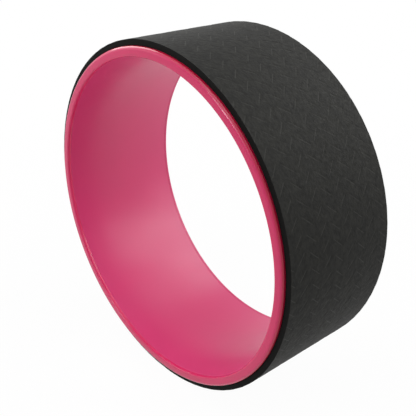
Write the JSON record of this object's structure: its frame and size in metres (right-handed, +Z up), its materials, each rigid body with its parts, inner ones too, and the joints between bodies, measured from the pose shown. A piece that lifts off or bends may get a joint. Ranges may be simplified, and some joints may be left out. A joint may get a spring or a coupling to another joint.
{
  "type": "yoga wheel",
  "caption": "Wide plastic hoop with rounded rims and an open bore, wrapped round its outside in an embossed foam mat that stops short of both rims.",
  "frame": {"origin": "on the floor under the middle of the wheel, as it stands on its tread", "axes": "+Z up, +Y along the wheel's axle line from the pictured face to the back face, +X to the right of the pictured face"},
  "size_m": [0.33, 0.132, 0.3297],
  "materials": {
    "hoop_plastic": "satin-gloss pink moulded plastic",
    "end_ring_plastic": "satin-gloss pink moulded plastic",
    "bonding_film": "double-sided bonding film",
    "tread_foam": "matt black closed-cell foam, embossed"
  },
  "bodies": {
    "root": {"hoop_body": "hoop_plastic", "front_end_ring": "end_ring_plastic", "back_end_ring": "end_ring_plastic", "bonding_film": "bonding_film", "tread_mat": "tread_foam"}
  },
  "joints": []
}
